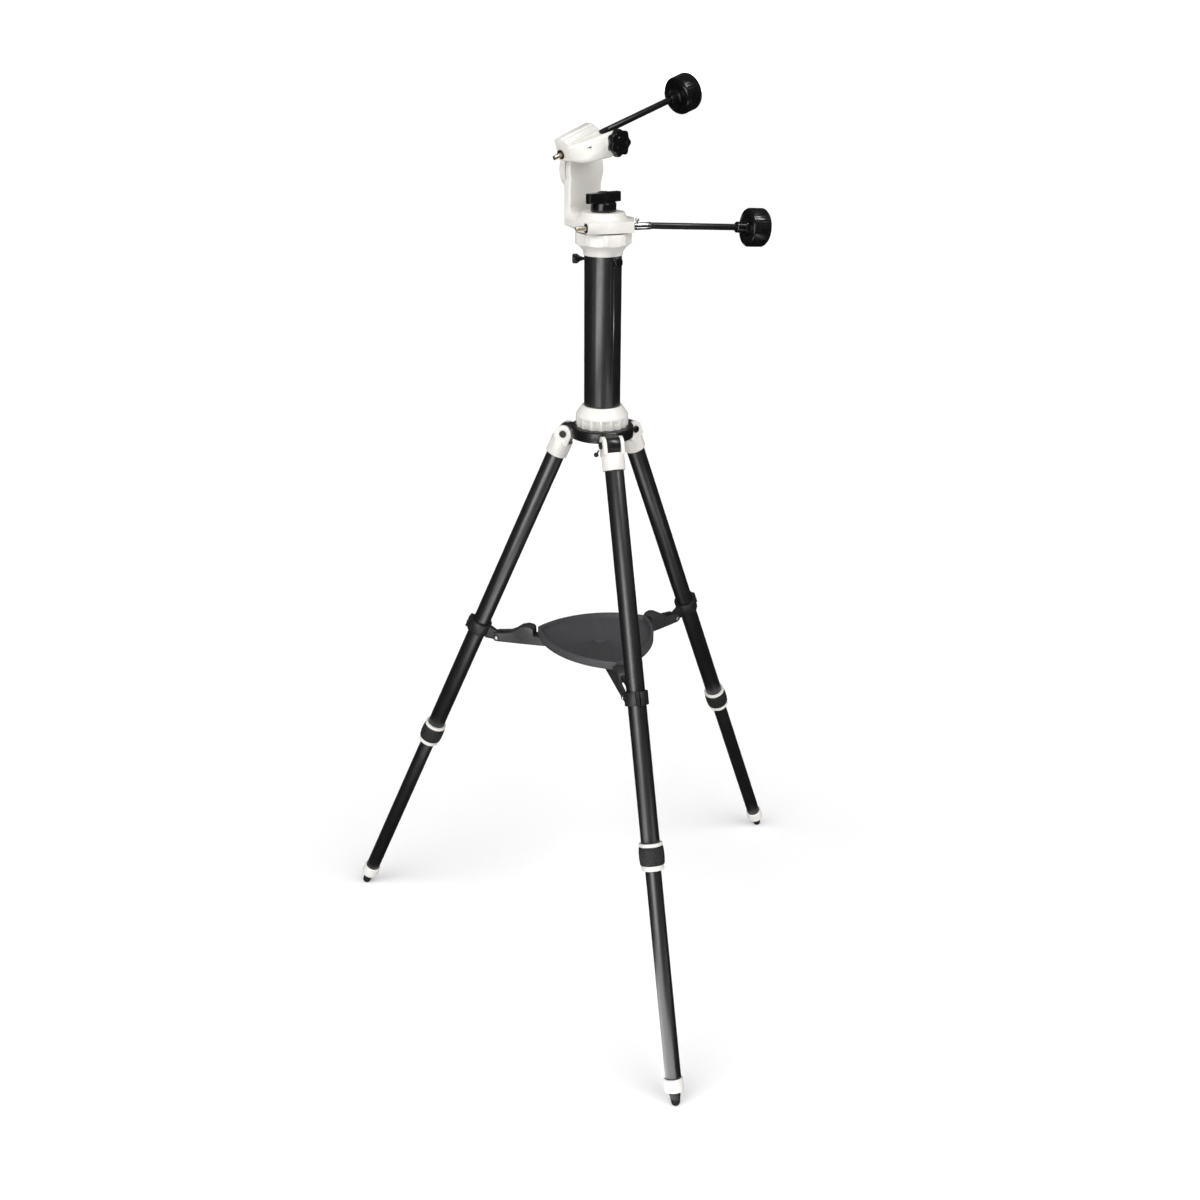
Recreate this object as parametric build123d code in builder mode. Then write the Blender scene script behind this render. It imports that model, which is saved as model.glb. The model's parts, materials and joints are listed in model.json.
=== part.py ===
"""Alt-azimuth mount head on a pillar and a three-legged stand.

The frame stands on the floor under the pillar, +Z up. +X is the altitude axis,
pointing away from the saddle. Sizes are millimetres.
"""
import os
from math import atan2, cos, pi, radians, sin

from build123d import *

os.makedirs("parts", exist_ok=True)

# ---------------------------------------------------------------- driving sizes
# stand
HINGE_RADIUS = 52.5
HINGE_HEIGHT = 832.0
FOOT_RADIUS = 415.8
LEG_ANGLES = {"a": -27.95, "b": 92.05, "c": 212.05}
UPPER_TUBE_R = 13.0
UPPER_TUBE_BORE = 11.5
LOWER_TUBE_R = 11.0
LOWER_TUBE_BORE = 9.8
CLAMP_AT = 562.0
LOWER_TUBE_END = 877.0
RUN = 0.05                       # radial clearance of a running fit
GAP = 0.3                        # space between other faces that move past each other

# pillar
THUMB_ANGLES = {"a": -12.0, "b": 108.0, "c": 228.0}
PILLAR_R = 25.0
PILLAR_BORE = 23.0
PILLAR_BASE = 868.0
PILLAR_TOP = 1090.0
HUB_BASE = 831.0
HUB_TOP = 846.0
NUT_TOP = 875.0
CUP_BASE = 1077.6
CUP_TOP = 1106.8
CUP_R = 37.5
THUMB_HEIGHT = CUP_BASE - 5.5
SPINDLE_R = 8.0
STUD_R = 6.0

# azimuth drive
BASE_BOTTOM = 1108.6
BASE_TOP = 1124.0
BASE_R = 37.0
DIAL_TOP = 1132.2
DIAL_R = 28.4
AZ_WORM_OFFSET = 27.6
AZ_WORM_HEIGHT = 1115.7
AZ_WORM_HEADING = -23.0          # direction of the worm shaft in plan, from +Y
AZ_TEETH = 60

# altitude drive
ALT_Y = 2.0
ALT_Z = 1182.0
ALT_TILT = 18.0
ALT_WORM_X = -40.2
ALT_WORM_Y = -37.6
ALT_WORM_Z = 1202.2
ALT_TEETH = 72
JOURNAL_R = 6.0
ARM_FRONT = -34.0
ARM_BACK = -45.0
HEAD_BACK = -42.2
HEAD_R = 30.5

# slow-motion controls
SHAFT_R = 3.25
SHAFT_END_R = 3.0
THREAD_R = 5.2
THREAD_PITCH = 2.2
SEAT = 2.0                       # from a box's end to the turned-down shaft end
BUSH_R = 5.0
CABLE_R = 4.2
CABLE_LENGTH = 138.0
AZ_CABLE_DROOP = 3.2
ALT_CABLE_DROOP = 1.8
KNOB_R = 25.2
KNOB_LENGTH = 27.0

# spreader and tray
PIN_R = 2.0
TRAY_FLOOR = 517.0
TRAY_RIM = 524.0
TRAY_BASE = 512.0
TRAY_CORNER_R = 98.0
TRAY_SIDE_R = 77.5
ARM_HINGE_R = 62.0
ARM_HINGE_Z = 503.5
TRAY_LUG_R = 6.2
TRAY_LUG_T = 10.0
LUG_PIN_R = 161.0
LUG_PIN_Z = 502.0
BAND_START = 336.5
BAND_LENGTH = 19.0

SPLAY = atan2(FOOT_RADIUS - HINGE_RADIUS, HINGE_HEIGHT)
CENTRE = Vector(0, 0, 0)
UP = Vector(0, 0, 1)
X_OUT = Vector(1, 0, 0)


# ---------------------------------------------------------------- shared helpers
def polar(angle, radius=1.0, height=0.0):
    """A point at an angle in plan, in degrees from +X."""
    a = radians(angle)
    return Vector(radius * cos(a), radius * sin(a), height)


def flat(point):
    """The X and Y of a point, for a sketch on a level plane."""
    return (point.X, point.Y)


def profile_plane(origin, along, side):
    """A sketch plane whose Y runs along an axis and whose X runs out sideways."""
    return Plane(origin=origin, x_dir=side, z_dir=side.cross(along))


def turned(outline, origin, along, side):
    """A solid of revolution. outline is (radius, distance along the axis) points."""
    with BuildPart() as body:
        with BuildSketch(profile_plane(origin, along, side)):
            with BuildLine():
                Polyline(*outline, close=True)
            make_face()
        revolve(axis=Axis(origin, along))
    return body.part


def wavy(radius, depth, lobes, steps=6):
    """Points round a rim that swells and sinks once for each lobe."""
    count = lobes * steps
    for i in range(count):
        turn = 2 * pi * i / count
        r = radius - depth * (1 - cos(lobes * turn)) / 2
        yield (r * cos(turn), r * sin(turn))


def toothed(radius, depth, teeth, land=0.45):
    """Points round a gear or ribbed rim: straight flanks between tip and root."""
    pitch = 2 * pi / teeth
    for i in range(teeth):
        for part, r in ((-land / 2, radius), (land / 2, radius), (0.62 - land / 2, radius - depth),
                        (0.88 - land / 2, radius - depth)):
            turn = pitch * (i + part)
            yield (r * cos(turn), r * sin(turn))


def save(piece, label):
    """Label a finished piece and write its STEP file."""
    piece.label = label
    export_step(piece, f"parts/{label}.step")


class Leg:
    """Directions and planes of one leg: Z runs down the leg, Y outward, X sideways."""

    def __init__(self, angle):
        self.out = polar(angle)
        self.side = UP.cross(self.out)
        self.down = self.out * sin(SPLAY) - UP * cos(SPLAY)
        self.normal = self.down.cross(self.side)
        self.hinge = self.out * HINGE_RADIUS + UP * HINGE_HEIGHT

    def at(self, distance, outward=0.0, sideways=0.0):
        return self.hinge + self.down * distance + self.normal * outward + self.side * sideways

    def section(self, distance):
        """Plane square to the leg, looking down it."""
        return Plane(origin=self.at(distance), x_dir=self.side, z_dir=self.down)

    def upright(self, sideways=0.0):
        """Vertical plane through the leg: X outward, Y up, through the stand's axis."""
        return Plane(origin=self.side * sideways, x_dir=self.out, z_dir=self.side * -1)

    def turned(self, outline, start=0.0):
        return turned(outline, self.at(start), self.down, self.normal)


LEGS = {name: Leg(angle) for name, angle in LEG_ANGLES.items()}

# ---------------------------------------------------------------- hub and pillar
HUB_R = 44.0
LUG_WIDTH = 18.8
EYE_R = 11.5
BOLT_R = 3.0
EAR_GAP = 0.4
EAR_T = 4.8
EAR_R = 11.9
HUB_BORE = 14.0
LUG_ROOT = 30.0
EAR_SPAN = LUG_WIDTH + 2 * (2 * EAR_GAP + EAR_T)
NECK_R = 19.0

with BuildPart() as hub:
    with BuildSketch(Plane.XY.offset(HUB_BASE)):
        Circle(HUB_R)
    extrude(amount=HUB_TOP - HUB_BASE)
    chamfer(hub.edges().filter_by(GeomType.CIRCLE).group_by(Axis.Z)[-1], 1.5)
    for leg in LEGS.values():
        # clearance in the rim for the ears, then the hinge lug between them
        with BuildSketch(leg.upright(-EAR_SPAN / 2)):
            with Locations((HINGE_RADIUS, HINGE_HEIGHT)):
                Circle(EAR_R + EAR_GAP)
        extrude(amount=-EAR_SPAN, mode=Mode.SUBTRACT)
        with BuildSketch(leg.upright(-LUG_WIDTH / 2)):
            with BuildLine():
                Polyline(
                    (LUG_ROOT, HUB_BASE), (HINGE_RADIUS, HUB_BASE), (HINGE_RADIUS, HINGE_HEIGHT + EYE_R),
                    (LUG_ROOT, HUB_TOP - 1), close=True,
                )
            make_face()
            with Locations((HINGE_RADIUS, HINGE_HEIGHT)):
                Circle(EYE_R)
        extrude(amount=-LUG_WIDTH)
        with BuildSketch(leg.upright(-LUG_WIDTH)):
            with Locations((HINGE_RADIUS, HINGE_HEIGHT)):
                Circle(BOLT_R)
        extrude(amount=-2 * LUG_WIDTH, mode=Mode.SUBTRACT)
    with BuildSketch(Plane.XY.offset(HUB_BASE)):
        Circle(HUB_BORE)
    extrude(amount=HUB_TOP - HUB_BASE, mode=Mode.SUBTRACT)
    # hollow underside, leaving a web under the nut
    with BuildSketch(Plane.XY.offset(HUB_BASE)):
        Circle(28.0)
        Circle(20.0, mode=Mode.SUBTRACT)
    extrude(amount=8.0, mode=Mode.SUBTRACT)
save(hub.part, "hub")

# threaded plug that joins the pillar to the hub, with its retaining ring under the hub
with BuildPart() as pillar_plug:
    add(turned(
        [
            (0, HUB_BASE - 3), (17, HUB_BASE - 3), (17, HUB_BASE), (HUB_BORE, HUB_BASE),
            (HUB_BORE, HUB_TOP), (NECK_R, HUB_TOP), (NECK_R, PILLAR_BASE), (PILLAR_BORE, PILLAR_BASE),
            (PILLAR_BORE, PILLAR_BASE + 26), (18, PILLAR_BASE + 26), (18, PILLAR_BASE + 4),
            (0, PILLAR_BASE + 4),
        ],
        CENTRE, UP, X_OUT))
save(pillar_plug.part, "pillar_plug")

with BuildPart() as pillar:
    with BuildSketch(Plane.XY.offset(PILLAR_BASE)):
        Circle(PILLAR_R)
        Circle(PILLAR_BORE, mode=Mode.SUBTRACT)
    extrude(amount=PILLAR_TOP - PILLAR_BASE)
    for angle in THUMB_ANGLES.values():
        with BuildSketch(Plane(origin=(0, 0, THUMB_HEIGHT), x_dir=(0, 0, 1), z_dir=polar(angle))):
            Circle(2.1)
        extrude(amount=PILLAR_R + 1, mode=Mode.SUBTRACT)
save(pillar.part, "pillar")

# scalloped nut that clamps the pillar onto the hub
NUT_LOBES = 16
NUT_R = 36.4
with BuildPart() as collar_nut:
    with BuildSketch(Plane.XY.offset(HUB_TOP + GAP)):
        with BuildLine():
            Polyline(*wavy(NUT_R, 2.4, NUT_LOBES, 8), close=True)
        make_face()
    extrude(amount=13.5)
    add(turned(
        [
            (0, HUB_TOP + 12), (36.2, HUB_TOP + 12.6), (NUT_R, NUT_TOP - 13.0), (35.2, NUT_TOP - 11.0),
            (28.2, NUT_TOP - 1.0), (27.2, NUT_TOP), (0, NUT_TOP),
        ],
        CENTRE, UP, X_OUT))
    with BuildSketch(Plane.XY.offset(HUB_TOP)):
        Circle(NECK_R + RUN)
    extrude(amount=PILLAR_BASE - HUB_TOP, mode=Mode.SUBTRACT)
    with BuildSketch(Plane.XY.offset(PILLAR_BASE - GAP)):
        Circle(PILLAR_R + RUN)
    extrude(amount=20, mode=Mode.SUBTRACT)
save(collar_nut.part, "collar_nut")

# ---------------------------------------------------------------- head cup and thumb screws
PANELS = 9
PANEL_START = -17.1              # heading of one panel's middle, in degrees from +X
PANEL_WIDTH = 18.4
PANEL_R = 35.7                   # from the axis to a panel's flat
PANEL_BASE = CUP_BASE + 14.0
PANEL_DEEP = 4.0
PLUG_LENGTH = 22.0
with BuildPart() as head_cup:
    add(turned(
        [
            (0, CUP_BASE), (26.2, CUP_BASE), (26.2, CUP_BASE + 3), (27.6, CUP_BASE + 6.5),
            (30.6, CUP_BASE + 10.2), (34.4, CUP_BASE + 13.2), (CUP_R - 0.8, CUP_BASE + 14.6),
            (CUP_R, CUP_BASE + 15.6), (CUP_R, CUP_TOP), (0, CUP_TOP),
        ],
        CENTRE, UP, X_OUT))
    # flat grip panels round the rim, with a narrow rib between each two
    for i in range(PANELS):
        middle = polar(360 * i / PANELS + PANEL_START)
        spot = middle * (PANEL_R + PANEL_DEEP / 2) + UP * PANEL_BASE
        with BuildSketch(Plane(origin=spot, x_dir=UP.cross(middle), z_dir=UP)):
            Rectangle(PANEL_WIDTH, PANEL_DEEP)
        extrude(amount=CUP_TOP - PANEL_BASE, mode=Mode.SUBTRACT)
    # socket over the pillar, solid boss down its middle
    with BuildSketch(Plane.XY.offset(CUP_BASE)):
        Circle(PILLAR_R)
        Circle(PILLAR_BORE, mode=Mode.SUBTRACT)
    extrude(amount=PILLAR_TOP - CUP_BASE, mode=Mode.SUBTRACT)
    # plug inside the pillar that the thumb screws bear on
    with BuildSketch(Plane.XY.offset(CUP_BASE - PLUG_LENGTH)):
        Circle(PILLAR_BORE)
        Circle(17.0, mode=Mode.SUBTRACT)
    extrude(amount=PLUG_LENGTH)
    with BuildSketch(Plane.XY.offset(CUP_BASE - PLUG_LENGTH)):
        Circle(SPINDLE_R)
    extrude(amount=60, mode=Mode.SUBTRACT)
save(head_cup.part, "head_cup")

for name, angle in THUMB_ANGLES.items():
    out = polar(angle)
    start = UP * THUMB_HEIGHT
    side = UP.cross(out)
    with BuildPart() as thumb_screw:
        add(turned(
            [
                (0, 24.0), (2.0, 24.0), (2.0, 27.2), (3.0, 28.2), (3.0, 30.0), (5.6, 33.4), (5.6, 40.0),
                (5.0, 40.8), (0, 40.8),
            ],
            start, out, side))
        with BuildSketch(Plane(origin=start + out * 33.6, x_dir=side, z_dir=out)):
            with BuildLine():
                Polyline(*toothed(6.3, 0.6, 24), close=True)
            make_face()
        extrude(amount=6.2)
    save(thumb_screw.part, f"thumb_screw_{name}")

# ---------------------------------------------------------------- legs
WALL_OUT = 9.0
WALL_IN = 5.4
SLOT_BOTTOM = 7.4
SLOT_H = 7.2
SLOT_LENGTH = 18.6
SLOT_SHIFT = -6.3
SCREW_R = 3.9
EYE = 6.4
BOLT_HEAD_R = 4.9
FOOT_BALL_R = 6.2
TIP_STEM_R = 6.0
FOOT_BALL_AT = (HINGE_HEIGHT - FOOT_BALL_R) / cos(SPLAY)
FOOT_NOSE = FOOT_BALL_AT - LOWER_TUBE_END
BAND_R = 16.6
YOKE_R = 15.6
CROTCH = 12.0
TUBE_START = 14.0
BOLT_HEAD_T = 3.2
BOLT_NUT_T = 2.2
HEX_R = 2.6
LUG_T = 7.6
LUG_EYE_R = 6.5
CLAMP_NUT_R = 17.6
CLAMP_RIBS = 24
SLEEVE_R = 14.2
hinge_bolts = []
for name, leg in LEGS.items():
    ear_inner = LUG_WIDTH / 2 + EAR_GAP
    ear_outer = ear_inner + EAR_T
    square = Plane(origin=leg.hinge, x_dir=leg.normal, z_dir=leg.side)

    # top fitting: two ears on a round sleeve
    with BuildPart() as yoke:
        with BuildSketch(leg.section(CROTCH)):
            Circle(YOKE_R)
        extrude(amount=23.0)
        with BuildSketch(square.offset(-ear_outer)):
            Circle(EAR_R)
            with Locations((0, (CROTCH + 2) / 2)):
                Rectangle(2 * EAR_R, CROTCH + 2)
        extrude(amount=2 * ear_outer)
        with BuildSketch(square.offset(-ear_inner)):
            with BuildLine():
                Polyline((-30, -20), (30, -20), (30, CROTCH), (-30, CROTCH), close=True)
            make_face()
        extrude(amount=2 * ear_inner, mode=Mode.SUBTRACT)
        with BuildSketch(leg.section(TUBE_START)):
            Circle(UPPER_TUBE_R)
        extrude(amount=40.0, mode=Mode.SUBTRACT)
        with BuildSketch(square.offset(-20)):
            Circle(BOLT_R + RUN)
        extrude(amount=40, mode=Mode.SUBTRACT)
    save(yoke.part, f"yoke_{name}")

    # sleeve bolt: a socket head on one side, a thinner socket nut on the other
    head_end = -ear_outer - BOLT_HEAD_T
    nut_end = ear_outer + BOLT_NUT_T
    with BuildPart() as bolt:
        add(turned(
            [
                (0, head_end), (BOLT_HEAD_R - 0.7, head_end), (BOLT_HEAD_R, head_end + 0.8),
                (BOLT_HEAD_R, -ear_outer), (BOLT_R, -ear_outer), (BOLT_R, ear_outer),
                (BOLT_HEAD_R, ear_outer), (BOLT_HEAD_R, nut_end - 0.6), (BOLT_HEAD_R - 0.6, nut_end),
                (0, nut_end),
            ],
            leg.hinge, leg.side, leg.normal))
        for end, inward in ((head_end, 2.0), (nut_end, -1.6)):
            with BuildSketch(square.offset(end)):
                RegularPolygon(HEX_R, 6)
            extrude(amount=inward, mode=Mode.SUBTRACT)
    hinge_bolts.append(bolt.part)

    with BuildPart() as upper_tube:
        with BuildSketch(leg.section(TUBE_START)):
            Circle(UPPER_TUBE_R)
            Circle(UPPER_TUBE_BORE, mode=Mode.SUBTRACT)
        extrude(amount=CLAMP_AT - 12.0 - TUBE_START)
    save(upper_tube.part, f"upper_tube_{name}")

    # twist clamp: a flanged sleeve on the tube and a split collet below the nut
    flange = leg.turned(
        [
            (UPPER_TUBE_R, -18), (15.8, -18), (16.4, -17.4), (16.4, -13.5), (SLEEVE_R, -13.5), (SLEEVE_R, -2),
            (UPPER_TUBE_BORE, -2), (UPPER_TUBE_BORE, -12), (UPPER_TUBE_R, -12),
        ],
        CLAMP_AT)
    collet = leg.turned(
        [
            (LOWER_TUBE_R + RUN, -1.6), (SLEEVE_R, -1.6), (SLEEVE_R, 12.6), (15.6, 12.6), (15.6, 18.6),
            (14.8, 19.6), (LOWER_TUBE_R + RUN, 19.6),
        ],
        CLAMP_AT)
    clamp_rings = Compound(children=[flange, collet])
    save(clamp_rings, f"clamp_rings_{name}")

    # ribbed barrel nut, fullest at its middle
    with BuildPart() as twist_nut:
        add(leg.turned(
            [
                (SLEEVE_R + RUN, -12.6), (16.2, -12.6), (16.9, -11.4), (CLAMP_NUT_R, -4),
                (CLAMP_NUT_R, 4), (16.9, 11.0), (16.2, 12.2), (SLEEVE_R + RUN, 12.2),
            ],
            CLAMP_AT))
        for i in range(CLAMP_RIBS):
            turn = 2 * pi * i / CLAMP_RIBS
            spot = leg.at(CLAMP_AT - 9.0, (CLAMP_NUT_R + 0.5) * cos(turn), (CLAMP_NUT_R + 0.5) * sin(turn))
            with BuildSketch(Plane(origin=spot, x_dir=leg.side, z_dir=leg.down)):
                Circle(1.0)
            extrude(amount=18.0, mode=Mode.SUBTRACT)
    save(twist_nut.part, f"twist_nut_{name}")

    with BuildPart() as lower_tube:
        with BuildSketch(leg.section(CLAMP_AT - 90.0)):
            Circle(LOWER_TUBE_R)
            Circle(LOWER_TUBE_BORE, mode=Mode.SUBTRACT)
        extrude(amount=LOWER_TUBE_END - CLAMP_AT + 90.0)
    save(lower_tube.part, f"lower_tube_{name}")

    foot_ferrule = leg.turned(
        [
            (LOWER_TUBE_R, -9), (12.2, -9), (13.3, -7.6), (13.5, 5), (12.8, 9), (9.6, 10),
            (TIP_STEM_R, 10), (TIP_STEM_R, 1), (LOWER_TUBE_BORE - 2, 1), (LOWER_TUBE_BORE - 2, 0),
            (LOWER_TUBE_R, 0),
        ],
        LOWER_TUBE_END)
    save(foot_ferrule, f"foot_ferrule_{name}")

    # rubber tip: a stem in the ferrule, a tapered nose ending in a dome on the floor
    with BuildPart() as foot_tip:
        add(leg.turned(
            [
                (0, 2), (TIP_STEM_R, 2), (TIP_STEM_R, 10), (8.0, 10), (8.0, 13), (7.2, 18),
                (FOOT_BALL_R, FOOT_NOSE), (0, FOOT_NOSE),
            ],
            LOWER_TUBE_END))
        with Locations(Location(leg.at(FOOT_BALL_AT))):
            Sphere(FOOT_BALL_R)
    save(foot_tip.part, f"foot_tip_{name}")

    # spreader band with its inward lug, and the bolt that closes it
    pin_point = leg.out * LUG_PIN_R + UP * LUG_PIN_Z
    with BuildPart() as spreader_band:
        with BuildSketch(leg.section(BAND_START)):
            Circle(BAND_R)
            with Locations((0, BAND_R)):
                Rectangle(11.0, 6)
            Circle(UPPER_TUBE_R, mode=Mode.SUBTRACT)
        extrude(amount=BAND_LENGTH)
        with BuildSketch(leg.upright(-LUG_T / 2)):
            with BuildLine():
                near = leg.at(BAND_START + 2, -BAND_R + 1)
                far = leg.at(BAND_START + BAND_LENGTH + 3, -BAND_R + 1)
                Polyline(
                    (near.dot(leg.out), near.Z), (LUG_PIN_R + 1, LUG_PIN_Z + LUG_EYE_R),
                    (LUG_PIN_R - 6, LUG_PIN_Z + 2), (LUG_PIN_R - 6, LUG_PIN_Z - 2),
                    (LUG_PIN_R + 1, LUG_PIN_Z - LUG_EYE_R), (far.dot(leg.out), far.Z), close=True,
                )
            make_face()
            with Locations((LUG_PIN_R, LUG_PIN_Z)):
                Circle(LUG_EYE_R)
        extrude(amount=-LUG_T)
        with BuildSketch(leg.upright(-LUG_T)):
            with Locations((LUG_PIN_R, LUG_PIN_Z)):
                Circle(PIN_R)
        extrude(amount=-2 * LUG_T, mode=Mode.SUBTRACT)
        # slit that lets the band pinch the tube
        with BuildSketch(leg.section(BAND_START)):
            with Locations((0, BAND_R)):
                Rectangle(1.6, 14)
            Circle(UPPER_TUBE_R, mode=Mode.SUBTRACT)
        extrude(amount=BAND_LENGTH, mode=Mode.SUBTRACT)
    save(spreader_band.part, f"spreader_band_{name}")

    # pin whose ends ride in blind slots inside the spreader arm's cheeks
    pin_reach = SLOT_BOTTOM - GAP
    lug_pin = turned([(0, -pin_reach), (PIN_R, -pin_reach), (PIN_R, pin_reach), (0, pin_reach)],
                     pin_point, leg.side, leg.out)
    save(lug_pin, f"lug_pin_{name}")

save(Compound(children=hinge_bolts), "hinge_bolts")

# ---------------------------------------------------------------- spreader arms and tray
HUMP = [(103.2, 521.5), (106.5, 524.0), (114.0, 525.0), (124.0, 522.0), (134.0, 514.5), (142.0, 511.0)]
for name, leg in LEGS.items():
    with BuildPart() as spreader_arm:
        # side view: low under the tray, a hump just outside its corner, then tapering to the pin
        with BuildSketch(leg.upright(-WALL_OUT)):
            with BuildLine():
                Polyline(
                    (ARM_HINGE_R - 6.2, 499), (ARM_HINGE_R - 6.2, 507), (ARM_HINGE_R - 3, 509.6),
                    (98.0, 510.6), (102.6, 511.0), *HUMP, (LUG_PIN_R, LUG_PIN_Z + EYE),
                    (LUG_PIN_R, LUG_PIN_Z - EYE), (120.0, 496.2), (ARM_HINGE_R - 3, 497.9), close=True,
                )
            make_face()
            with Locations((LUG_PIN_R, LUG_PIN_Z)):
                Circle(EYE)
        extrude(amount=-2 * WALL_OUT)
        # channel down the middle, open at both ends, closed above between them
        with BuildSketch(leg.upright(-WALL_IN)):
            with BuildLine():
                Polyline(
                    (0, 480), (300, 480), (300, 530), (128.0, 530), (128.0, 507.0), (78.0, 507.0),
                    (78.0, 530), (0, 530), close=True,
                )
            make_face()
        extrude(amount=-2 * WALL_IN, mode=Mode.SUBTRACT)
        with BuildSketch(leg.upright(-2 * WALL_OUT)):
            with Locations((ARM_HINGE_R, ARM_HINGE_Z)):
                Circle(PIN_R + RUN)
        extrude(amount=-4 * WALL_OUT, mode=Mode.SUBTRACT)
        # blind slots inside the cheeks for the leg's pin, with screw heads outside them
        with BuildSketch(leg.upright(-SLOT_BOTTOM)):
            with Locations((LUG_PIN_R + SLOT_SHIFT, LUG_PIN_Z + 1.0)):
                SlotOverall(SLOT_LENGTH, SLOT_H)
        extrude(amount=-2 * SLOT_BOTTOM, mode=Mode.SUBTRACT)
        for facing in (-1, 1):
            add(turned(
                [
                    (0, WALL_OUT), (SCREW_R, WALL_OUT), (SCREW_R, WALL_OUT + 1.2),
                    (SCREW_R - 0.8, WALL_OUT + 2.0), (0, WALL_OUT + 2.0),
                ],
                leg.out * LUG_PIN_R + UP * LUG_PIN_Z, leg.side * facing, leg.out))
    save(spreader_arm.part, f"spreader_arm_{name}")


def tray_outline(grow=0.0):
    """Rounded triangle with bowed sides, its corners towards the legs."""
    corners = [polar(angle, TRAY_CORNER_R + grow) for angle in LEG_ANGLES.values()]
    sides = [polar(angle + 60, TRAY_SIDE_R + grow) for angle in LEG_ANGLES.values()]
    for i in range(3):
        ThreePointArc(flat(corners[i]), flat(sides[i]), flat(corners[(i + 1) % 3]))


with BuildPart() as tray:
    with BuildSketch(Plane.XY.offset(TRAY_BASE)):
        with BuildLine():
            tray_outline()
        make_face()
    extrude(amount=TRAY_RIM - TRAY_BASE)
    fillet(tray.edges().filter_by(Axis.Z), 9.0)
    with BuildSketch(Plane.XY.offset(TRAY_FLOOR)):
        with BuildLine():
            tray_outline(-4.5)
        make_face()
    extrude(amount=TRAY_RIM - TRAY_FLOOR, mode=Mode.SUBTRACT)
    # curved thumb mark in the floor
    with BuildSketch(Plane.XY.offset(TRAY_FLOOR)):
        with BuildLine():
            mark = polar(-43.0)
            side = UP.cross(mark)
            a = mark * 4 - side * 13
            b = mark * 14
            c = mark * 4 + side * 13
            ThreePointArc(flat(a), flat(b), flat(c))
            b2 = mark * 10.5
            a2 = mark * 3 - side * 10.5
            c2 = mark * 3 + side * 10.5
            ThreePointArc(flat(a2), flat(b2), flat(c2))
            Line(flat(a), flat(a2))
            Line(flat(c), flat(c2))
        make_face()
    extrude(amount=-1.4, mode=Mode.SUBTRACT)
    # bearing lug for each arm
    for leg in LEGS.values():
        with BuildSketch(leg.upright(-TRAY_LUG_T / 2)):
            with Locations((ARM_HINGE_R, ARM_HINGE_Z)):
                Circle(TRAY_LUG_R)
            with Locations((ARM_HINGE_R, (ARM_HINGE_Z + TRAY_BASE) / 2)):
                Rectangle(2 * TRAY_LUG_R, TRAY_BASE - ARM_HINGE_Z)
            with Locations((ARM_HINGE_R, ARM_HINGE_Z)):
                Circle(PIN_R, mode=Mode.SUBTRACT)
        extrude(amount=-TRAY_LUG_T)
    # stiffening ring under the floor
    with BuildSketch(Plane.XY.offset(TRAY_BASE)):
        Circle(36.0)
        Circle(33.0, mode=Mode.SUBTRACT)
    extrude(amount=-6.0)
save(tray.part, "tray")

PIN_HEAD_R = 3.2
PIN_SPAN = 9.5
pin_outline = [
    (0, -PIN_SPAN - 1.9), (PIN_HEAD_R, -PIN_SPAN - 1.9), (PIN_HEAD_R, -PIN_SPAN), (PIN_R, -PIN_SPAN),
    (PIN_R, PIN_SPAN), (PIN_HEAD_R, PIN_SPAN), (PIN_HEAD_R, PIN_SPAN + 1.9), (0, PIN_SPAN + 1.9),
]
tray_pins = [
    turned(pin_outline, leg.out * ARM_HINGE_R + UP * ARM_HINGE_Z, leg.side, leg.out)
    for leg in LEGS.values()
]
save(Compound(children=tray_pins), "tray_pins")

# ---------------------------------------------------------------- azimuth drive
worm_dir = polar(90 + AZ_WORM_HEADING)
worm_out = polar(AZ_WORM_HEADING)
worm_mid = worm_out * AZ_WORM_OFFSET + UP * AZ_WORM_HEIGHT
BOX_NEAR = -33.2
BOX_FAR = 29.8
BOX_FACE = 36.0
BOX_HALF = 7.05
BOX_DEEP = 18.0
AZ_WHEEL_R = AZ_WORM_OFFSET - THREAD_R - GAP
AZ_WHEEL_T = 7.6

az_spindle = turned(
    [
        (0, CUP_BASE - 10), (13, CUP_BASE - 10), (13, CUP_BASE - 4), (SPINDLE_R, CUP_BASE - 4),
        (SPINDLE_R, CUP_TOP + 17.5), (STUD_R, CUP_TOP + 17.5), (STUD_R, DIAL_TOP + 10), (0, DIAL_TOP + 10),
    ],
    CENTRE, UP, X_OUT)
save(az_spindle, "az_spindle")

with BuildPart() as az_wheel:
    with BuildSketch(Plane.XY.offset(AZ_WORM_HEIGHT - AZ_WHEEL_T / 2)):
        with BuildLine():
            Polyline(*toothed(AZ_WHEEL_R, 1.6, AZ_TEETH, 0.36), close=True)
        make_face()
    extrude(amount=AZ_WHEEL_T)
    with BuildSketch(Plane.XY.offset(CUP_TOP + 0.2)):
        Circle(13.0)
    extrude(amount=12.0)
    with BuildSketch(Plane.XY.offset(CUP_TOP)):
        Circle(SPINDLE_R + RUN)
    extrude(amount=20.0, mode=Mode.SUBTRACT)
save(az_wheel.part, "az_wheel")


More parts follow.
